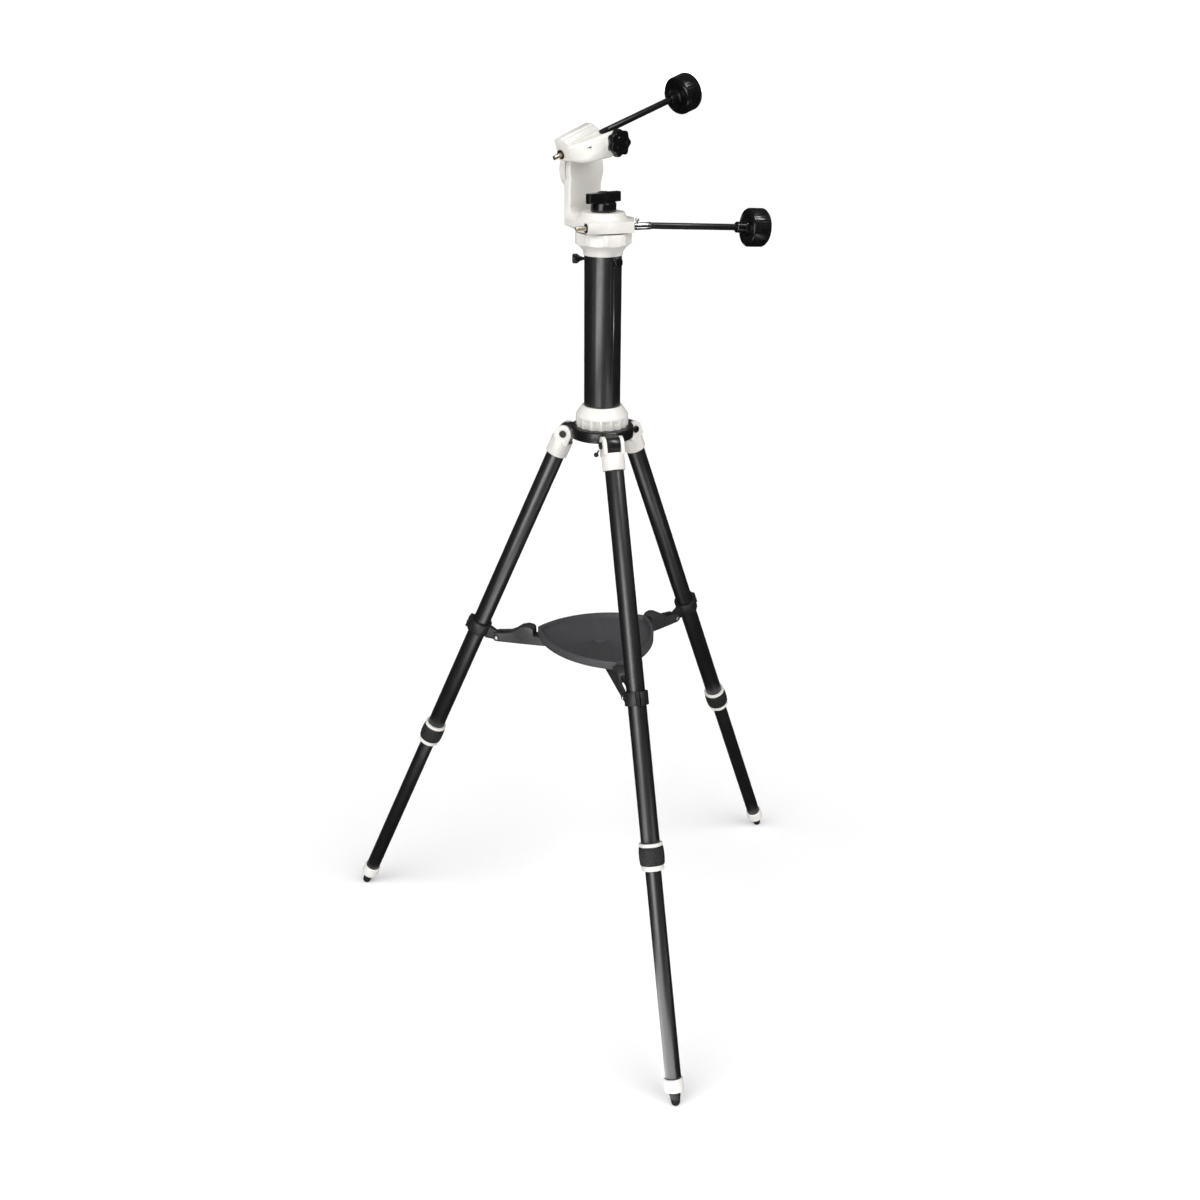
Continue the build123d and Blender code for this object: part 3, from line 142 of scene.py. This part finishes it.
def black_tube():
    """Satin black enamel on drawn tube."""
    m = Nodes("black_tube")
    m.tint(m.noise(60, 4), (0.004, 0.004, 0.0045), (0.0075, 0.0075, 0.008))
    m.rough(m.noise(220), 0.34, 0.43)
    m.bump(m.noise(1500, 2), 0.00002, 0.4)
    m.set(IOR=1.52, Specular_IOR_Level=0.8, Coat_Weight=0.3, Coat_Roughness=0.32)
    return m.material


def black_casting():
    """Semi-gloss black paint on a casting, with its coarser skin showing through."""
    m = Nodes("black_casting")
    m.tint(m.noise(90, 4), (0.004, 0.004, 0.0045), (0.008, 0.008, 0.0082))
    m.rough(m.noise(300), 0.26, 0.42)
    m.bump(m.noise(520, 4), 0.00007, 0.6)
    m.set(IOR=1.5, Coat_Weight=0.2, Coat_Roughness=0.25)
    return m.material


def black_knob():
    """Moulded black plastic with a deep gloss and faint flow marks."""
    m = Nodes("black_knob")
    m.tint(m.noise(40, 3), (0.003, 0.003, 0.0033), (0.006, 0.006, 0.0063))
    m.rough(m.noise(180, 4), 0.14, 0.26)
    m.bump(m.noise(700, 2), 0.00002, 0.5)
    m.set(IOR=1.49)
    return m.material


def tray_plastic():
    """Dark grey moulded plastic with a fine pebbled grain."""
    m = Nodes("tray_plastic")
    m.tint(m.noise(900, 3, 0.7), (0.040, 0.040, 0.043), (0.066, 0.066, 0.069))
    m.rough(m.noise(500, 3), 0.48, 0.62)
    m.bump(m.noise(1250, 3), 0.00009, 0.8)
    m.set(IOR=1.47)
    return m.material


def spreader_plastic(name, shade):
    """Glass-filled dark plastic of the spreader, smoother than the tray's."""
    m = Nodes(name)
    m.tint(m.noise(700, 3, 0.7), (0.7 * shade,) * 3, (1.4 * shade,) * 3)
    m.rough(m.noise(420, 3), 0.36, 0.5)
    m.bump(m.noise(1250, 3), 0.00006, 0.7)
    m.set(IOR=1.48)
    return m.material


def rubber():
    """Black rubber, dusty in its texture."""
    m = Nodes("rubber")
    m.tint(m.noise(300, 5), (0.0075, 0.0075, 0.0078), (0.019, 0.019, 0.0195))
    m.rough(m.noise(260, 4), 0.58, 0.78)
    m.bump(m.noise(1100, 4), 0.00006, 0.6)
    m.set(IOR=1.45)
    return m.material


def black_steel():
    """Black-oxide steel with an oily sheen."""
    m = Nodes("black_steel")
    m.tint(m.noise(500, 3), (0.012, 0.012, 0.013), (0.028, 0.028, 0.029))
    m.rough(m.noise(700, 3), 0.28, 0.42)
    m.bump(m.noise(1600, 2), 0.00002, 0.5)
    m.set(Metallic=0.6)
    return m.material


def zinc_steel():
    """Bright zinc on turned steel."""
    m = Nodes("zinc_steel")
    m.tint(m.noise(600, 4), (0.52, 0.52, 0.53), (0.68, 0.68, 0.69))
    m.rough(m.noise(900, 3), 0.2, 0.34)
    m.bump(m.noise(2200, 2), 0.00001, 0.5)
    m.set(Metallic=1.0)
    return m.material


def brass(name, axis):
    """Turned brass with fine tool rings round the shaft."""
    m = Nodes(name)
    m.tint(m.noise(260, 4), (0.66, 0.54, 0.40), (0.82, 0.70, 0.55))
    m.rough(m.turning(axis, 3500), 0.28, 0.44)
    m.bump(m.turning(axis, 2600), 0.00002, 0.5)
    m.set(Metallic=1.0)
    return m.material


def chrome():
    """Polished chrome with faint haze."""
    m = Nodes("chrome")
    m.tint(m.noise(120, 3), (0.60, 0.60, 0.61), (0.68, 0.68, 0.69))
    m.rough(m.noise(400, 4), 0.12, 0.22)
    m.set(Metallic=1.0)
    return m.material


def cable_sleeve(name, axis):
    """Satin black sleeve over a steel cable, faintly ringed."""
    m = Nodes(name)
    m.tint(m.noise(160, 3), (0.003, 0.003, 0.0033), (0.006, 0.006, 0.0063))
    m.rough(m.noise(240, 3), 0.3, 0.42)
    m.bump(m.turning(axis, 900), 0.00002, 0.4)
    m.set(IOR=1.49)
    return m.material


AZIMUTH_SHAFT = Vector(JOINTS["azimuth_worm_turn"]["axis"])
ALTITUDE_SHAFT = Vector(JOINTS["altitude_worm_turn"]["axis"])
FINISH = {
    "ivory_paint": ivory_paint(),
    "black_tube": black_tube(),
    "black_casting": black_casting(),
    "black_knob": black_knob(),
    "tray_plastic": tray_plastic(),
    "rubber": rubber(),
    "black_steel": black_steel(),
    "zinc_steel": zinc_steel(),
    "brass": brass("brass", Vector((1, 0, 0))),
    "chrome": chrome(),
    "cable_sleeve": cable_sleeve("cable_sleeve", AZIMUTH_SHAFT),
}
BAND_PLASTIC = spreader_plastic("band_plastic", 0.012)
ARM_PLASTIC = spreader_plastic("arm_plastic", 0.026)
OWN_FINISH = {
    **{f"spreader_band_{leg}": BAND_PLASTIC for leg in LEGS},
    **{f"spreader_arm_{leg}": ARM_PLASTIC for leg in LEGS},
    "az_worm": brass("brass_azimuth_shaft", AZIMUTH_SHAFT),
    "alt_worm": brass("brass_altitude_shaft", ALTITUDE_SHAFT),
    "alt_cable": cable_sleeve("cable_sleeve_altitude", ALTITUDE_SHAFT),
}

# ---------------------------------------------------------------- CAD nodes: finish and soft edges
SOFT_EDGE = {
    "arm": 0.6, "alt_block": 0.7, "head_cup": 0.6, "collar_nut": 0.5, "hub": 0.6, "saddle": 0.5, "tray": 0.7,
    "clutch_knob": 0.3, "star_knob": 0.4,
}
SOFT_EDGE_ELSEWHERE = 0.25
SHARP = radians(32)


def soften(piece, width):
    """Shades a CAD node smooth and rounds its sharp edges a little."""
    for polygon in piece.data.polygons:
        polygon.use_smooth = True
    weld = piece.modifiers.new("weld", "WELD")
    weld.merge_threshold = 0.002 * MM
    bevel = piece.modifiers.new("soft_edges", "BEVEL")
    bevel.width = width * MM
    bevel.segments = 2
    bevel.limit_method = "ANGLE"
    bevel.angle_limit = SHARP
    bevel.harden_normals = True
    bevel.use_clamp_overlap = True


for entry in frame["record"]["subparts"]:
    piece = NODES[entry["node"]]
    piece.data.materials.clear()
    piece.data.materials.append(OWN_FINISH.get(entry["node"], FINISH[entry["material_slot"]]))
    soften(piece, SOFT_EDGE.get(entry["node"], SOFT_EDGE_ELSEWHERE))


# ---------------------------------------------------------------- trim pieces
TRIM_SHARP = radians(34)
MERGE_WITHIN = 0.00001
THINNEST_EDGE = 0.000001
RECESS_PINCH = 0.62


def loose_mesh(name, rows, closed, body, finish, capped=False):
    """A piece skinned over rings of points, in metres.

    A closed piece joins its last ring to its first; a capped one gets a face on both.
    """
    bm = bmesh.new()
    rings = [[bm.verts.new(point) for point in row] for row in rows]
    pairs = list(zip(rings, rings[1:])) + ([(rings[-1], rings[0])] if closed else [])
    for low, high in pairs:
        for i in range(len(low)):
            j = (i + 1) % len(low)
            bm.faces.new((low[i], low[j], high[j], high[i]))
    if capped:
        bm.faces.new(rings[0])
        bm.faces.new(rings[-1])
    bmesh.ops.remove_doubles(bm, verts=bm.verts, dist=MERGE_WITHIN)
    bmesh.ops.dissolve_degenerate(bm, edges=bm.edges, dist=THINNEST_EDGE)
    bmesh.ops.recalc_face_normals(bm, faces=bm.faces)
    mesh = bpy.data.meshes.new(name)
    bm.to_mesh(mesh)
    bm.free()
    for polygon in mesh.polygons:
        polygon.use_smooth = True
    mesh.set_sharp_from_angle(angle=TRIM_SHARP)
    mesh.materials.append(FINISH[finish])
    piece = bpy.data.objects.new(name, mesh)
    bpy.context.scene.collection.objects.link(piece)
    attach(piece, body)
    return piece


def turned(name, centre, axis, profile, body, finish, closed=False, cross_from=None, steps=48):
    """A profile of (radius, height) in mm spun round an axis.

    Rings from cross_from on are pinched to a four-armed driver recess.
    """
    turn_to_axis = Vector(axis).to_track_quat("Z", "Y").to_matrix()
    rows = []
    for index, (radius, height) in enumerate(profile):
        row = []
        for step in range(steps):
            angle = 2 * pi * step / steps
            in_recess = cross_from is not None and index >= cross_from
            pinch = RECESS_PINCH * sin(2 * angle) ** 2 if in_recess else 0
            reach = radius * (1 - pinch) * MM
            point = Vector((reach * cos(angle), reach * sin(angle), height * MM))
            row.append(Vector(centre) + turn_to_axis @ point)
        rows.append(row)
    return loose_mesh(name, rows, closed, body, finish)


def screw_head(name, seat, axis, radius, body, finish="zinc_steel"):
    """Pan-head screw with a driver recess, standing on its seat."""
    height = 0.55 * radius
    profile = [
        (0, 0), (radius, 0), (radius, 0.35 * height), (0.93 * radius, 0.7 * height),
        (0.76 * radius, 0.93 * height), (0.58 * radius, height), (0.54 * radius, height),
        (0.46 * radius, 0.55 * height), (0, 0.45 * height),
    ]
    return turned(name, seat, axis, profile, body, finish, cross_from=6)


def ring(name, centre, axis, inner, outer, thick, body, finish):
    """Washer with eased outer edges, from its centre along the axis."""
    ease = 0.15 * thick
    profile = [
        (inner, 0), (outer - ease, 0), (outer, ease),
        (outer, thick - ease), (outer - ease, thick), (inner, thick),
    ]
    return turned(name, centre, axis, profile, body, finish, closed=True, steps=96)


# dark rings in the two turning joints of the head, painted shade of the gaps there; the upper one is open where
# the worm passes
ALTITUDE_AXIS = Vector(JOINTS["altitude_push"]["pos_m"])
GAP_SHADE_FROM = radians(138)
GAP_SHADE_TO = radians(438)
GAP_SHADE_STEPS = 90
GAP_SHADE_SECTION = ((22.0, -45.2), (28.2, -45.2), (28.5, -44.9), (28.5, -43.0), (28.2, -42.7), (22.0, -42.7))
gap_shade_rows = []
for step in range(GAP_SHADE_STEPS + 1):
    turn = GAP_SHADE_FROM + (GAP_SHADE_TO - GAP_SHADE_FROM) * step / GAP_SHADE_STEPS
    reach = Vector((0, cos(turn), sin(turn)))
    gap_shade_rows.append([
        Vector((x * MM, ALTITUDE_AXIS.y, ALTITUDE_AXIS.z)) + reach * radius * MM
        for radius, x in GAP_SHADE_SECTION
    ])
loose_mesh("altitude_gap_shade", gap_shade_rows, False, "arm", "rubber", capped=True)
# the lower ring is also painted shade: a dark ring in the azimuth gap under the head cup
AZIMUTH_GAP_SHADE_Z = 1.1072
ring("azimuth_gap_shade", (0, 0, AZIMUTH_GAP_SHADE_Z), UP, 28.0, 34.0, 1.0, "arm", "rubber")

# two index marks on the azimuth dial, and a dark triangle on the block's fairing as painted shade of a small
# recess
DIAL_FACE = 1132.2
MARK_OUTLINE = [(0, 0), (0.75, 0), (0.75, 0.18), (0.65, 0.25), (0, 0.25)]
MARK_SUNK = 0.1
for mark, (x, y) in (("a", (13.6, -8.8)), ("b", (16.2, -5.4))):
    turned(
        f"dial_mark_{mark}", (x * MM, y * MM, (DIAL_FACE - MARK_SUNK) * MM), UP, MARK_OUTLINE,
        "arm", "rubber", steps=24)
# thin dark triangle at the fairing's face: painted shade standing in for a recess that is not modelled
RECESS_SHADE_CORNERS = ((-3.3, -27.4, 1211.5), (1.7, -23.4, 1211.6), (2.3, -23.2, 1214.4))
RECESS_SHADE_FACE = Vector((0.64, -0.76, -0.11)).normalized()
RECESS_SHADE_LIFTS = (-0.4, 0.15)
recess_shade_rows = [[(Vector(corner) + RECESS_SHADE_FACE * lift) * MM for corner in RECESS_SHADE_CORNERS] for lift in RECESS_SHADE_LIFTS]
loose_mesh("fairing_recess_shade", recess_shade_rows, False, "arm", "black_steel", capped=True)

# screws of the spreader arms and bands
PIN_END = 0.011
BAND_SCREW_SIDE = 0.0055
BAND_SCREW_OUT = 0.0175
BAND_DROP = 0.346
SPREADER_SCREW_R = 3.3
BAND_SCREW_R = 2.6
for leg in LEGS:
    fold = JOINTS[f"leg_{leg}_fold"]
    side = Vector(fold["axis"]).normalized()
    low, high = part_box(f"lug_pin_{leg}")
    middle = (Vector(low) + Vector(high)) / 2
    for mark, sign in (("l", -1), ("r", 1)):
        screw_head(
            f"spreader_screw_{leg}_{mark}", middle + side * sign * PIN_END, side * sign, SPREADER_SCREW_R,
            f"spreader_{leg}")
    along = Vector(JOINTS[f"leg_{leg}_length"]["axis"]).normalized()
    outward = along.cross(side)
    if outward.z < 0:
        outward.negate()
    ear = Vector(fold["pos_m"]) + along * BAND_DROP + outward * BAND_SCREW_OUT
    screw_head(
        f"band_screw_{leg}", ear + side * BAND_SCREW_SIDE, side, BAND_SCREW_R, f"leg_{leg}", "black_steel")

# peg with a ball end beside the front hinge
front_hinge = JOINTS["leg_a_fold"]
peg_side = Vector(front_hinge["axis"]).normalized()
peg_out = peg_side.cross(UP).normalized()
hinge = Vector(front_hinge["pos_m"])
peg_start = hinge + (peg_side * -18 + peg_out * -0.9 - UP * 6.5) * MM
peg_end = hinge + (peg_side * -22 + peg_out * 0.6 - UP * 12.2) * MM
peg_length = (peg_end - peg_start).length / MM
BALL_R = 3.3
STEM_R = 1.1
ball_turns = [radians(degrees) for degrees in range(24, 181, 13)]
ball = [(BALL_R * sin(turn), peg_length - BALL_R * cos(turn)) for turn in ball_turns]
peg_outline = [(0, 0), (STEM_R, 0), (STEM_R, peg_length - BALL_R), *ball, (0, peg_length + BALL_R)]
turned("hinge_peg", peg_start, peg_end - peg_start, peg_outline, "root", "black_steel", steps=32)

# ---------------------------------------------------------------- camera
CAMERA_HEADING = radians(47.034)
CAMERA_PITCH = -0.4130
CAMERA_ROLL = 0.0068
CAMERA_DISTANCE = 1.7679
CAMERA_HEIGHT = 1.3543
CAMERA_SIDE = radians(-43)
SENSOR = 36.0
LENS = 39.338
camera_data = bpy.data.cameras.new("camera")
camera_data.sensor_width = SENSOR
camera_data.sensor_fit = "HORIZONTAL"
camera_data.lens = LENS
camera = bpy.data.objects.new("camera", camera_data)
camera.location = (CAMERA_DISTANCE * cos(CAMERA_SIDE), CAMERA_DISTANCE * sin(CAMERA_SIDE), CAMERA_HEIGHT)
camera.rotation_euler = (
    Euler((0, 0, CAMERA_HEADING)).to_matrix()
    @ Euler((pi / 2 + CAMERA_PITCH, 0, 0)).to_matrix()
    @ Euler((0, 0, CAMERA_ROLL)).to_matrix()
).to_euler()
bpy.context.scene.collection.objects.link(camera)
bpy.context.scene.camera = camera

# ---------------------------------------------------------------- floor and light
FLOOR_HALF = 30.0
WALL_HEIGHT = 12.0
WALL_SIDES = 24
FLOOR_GLOW = 0.12
WALL_GLOW = 0.8


def plain(name, corners, faces, material):
    """Piece of the studio that reflections don't show."""
    mesh = bpy.data.meshes.new(name)
    mesh.from_pydata(corners, [], faces)
    piece = bpy.data.objects.new(name, mesh)
    bpy.context.scene.collection.objects.link(piece)
    mesh.materials.append(material)
    piece.visible_glossy = False
    return piece


def paper(name, glow):
    """White studio paper, with a glow where no lamp reaches it."""
    m = Nodes(name)
    m.tint(m.noise(3, 2), (0.91, 0.91, 0.91), (0.93, 0.93, 0.93))
    m.set(Roughness=0.9, Specular_IOR_Level=0.1, Emission_Color=(1, 1, 1, 1), Emission_Strength=glow)
    return m.material


plain(
    "floor", [(x * FLOOR_HALF, y * FLOOR_HALF, 0) for x, y in ((-1, -1), (1, -1), (1, 1), (-1, 1))],
    [(0, 1, 2, 3)], paper("floor_paper", FLOOR_GLOW))
wall_turns = [2 * pi * step / WALL_SIDES for step in range(WALL_SIDES)]
wall = plain(
    "backdrop",
    [(FLOOR_HALF * cos(turn), FLOOR_HALF * sin(turn), z) for turn in wall_turns for z in (0, WALL_HEIGHT)],
    [
        (low, low + 1, (low + 3) % (2 * WALL_SIDES), (low + 2) % (2 * WALL_SIDES))
        for low in range(0, 2 * WALL_SIDES, 2)
    ],
    paper("backdrop_paper", WALL_GLOW))
wall.visible_diffuse = False
wall.visible_shadow = False


def softbox(name, place, target, width, height, power):
    """Rectangular area light aimed at a point, there for its reflections."""
    data = bpy.data.lights.new(name, "AREA")
    data.shape = "RECTANGLE"
    data.size = width
    data.size_y = height
    data.energy = power
    lamp = bpy.data.objects.new(name, data)
    lamp.location = place
    lamp.rotation_euler = (Vector(target) - Vector(place)).to_track_quat("-Z", "Y").to_euler()
    lamp.visible_camera = False
    lamp.visible_diffuse = False
    bpy.context.scene.collection.objects.link(lamp)


def around(side, distance, height):
    """A point at an angle from the camera's side, positive to its right."""
    angle = CAMERA_SIDE + radians(side)
    return (distance * cos(angle), distance * sin(angle), height)


def soft_sun(name, side, height, spread, strength):
    """Very broad distant light without reflections, placed by its side and height in degrees."""
    data = bpy.data.lights.new(name, "SUN")
    data.energy = strength
    data.angle = radians(spread)
    lamp = bpy.data.objects.new(name, data)
    level = cos(radians(height))
    heading = CAMERA_SIDE + radians(side)
    place = Vector((level * cos(heading), level * sin(heading), sin(radians(height))))
    lamp.rotation_euler = place.to_track_quat("Z", "Y").to_euler()
    lamp.visible_glossy = False
    bpy.context.scene.collection.objects.link(lamp)


soft_sun("sky_left", -45, 39, 60, 2.45)
soft_sun("sky_right", 48, 38, 60, 2.2)
softbox("floor_card", around(-16, 0.75, 0.012), around(-16, 0.75, 3), 0.55, 0.9, 5)
softbox("floor_card_right", around(47, 1.25, 0.012), around(47, 1.25, 3), 0.5, 0.6, 3)
softbox("front_strip", around(-24, 2.2, 1.1), (0, 0, 1.1), 1.3, 2.1, 38)
softbox("top_strip", around(55, 1.5, 3.3), (0.1, 0.15, 1.2), 0.8, 0.9, 40)

# dim surroundings, a little brighter overhead
world = bpy.data.worlds.new("studio")
bpy.context.scene.world = world
world.use_nodes = True
sky = world.node_tree.nodes
links = world.node_tree.links
direction = sky.new("ShaderNodeTexCoord")
split = sky.new("ShaderNodeSeparateXYZ")
ramp = sky.new("ShaderNodeMapRange")
ramp.inputs["From Min"].default_value = -0.1
ramp.inputs["From Max"].default_value = 0.5
ramp.inputs["To Min"].default_value = 0.02
ramp.inputs["To Max"].default_value = 0.12
links.new(direction.outputs["Generated"], split.inputs[0])
links.new(split.outputs["Z"], ramp.inputs["Value"])
links.new(ramp.outputs["Result"], sky["Background"].inputs["Color"])
bpy.context.scene.view_settings.view_transform = "Standard"
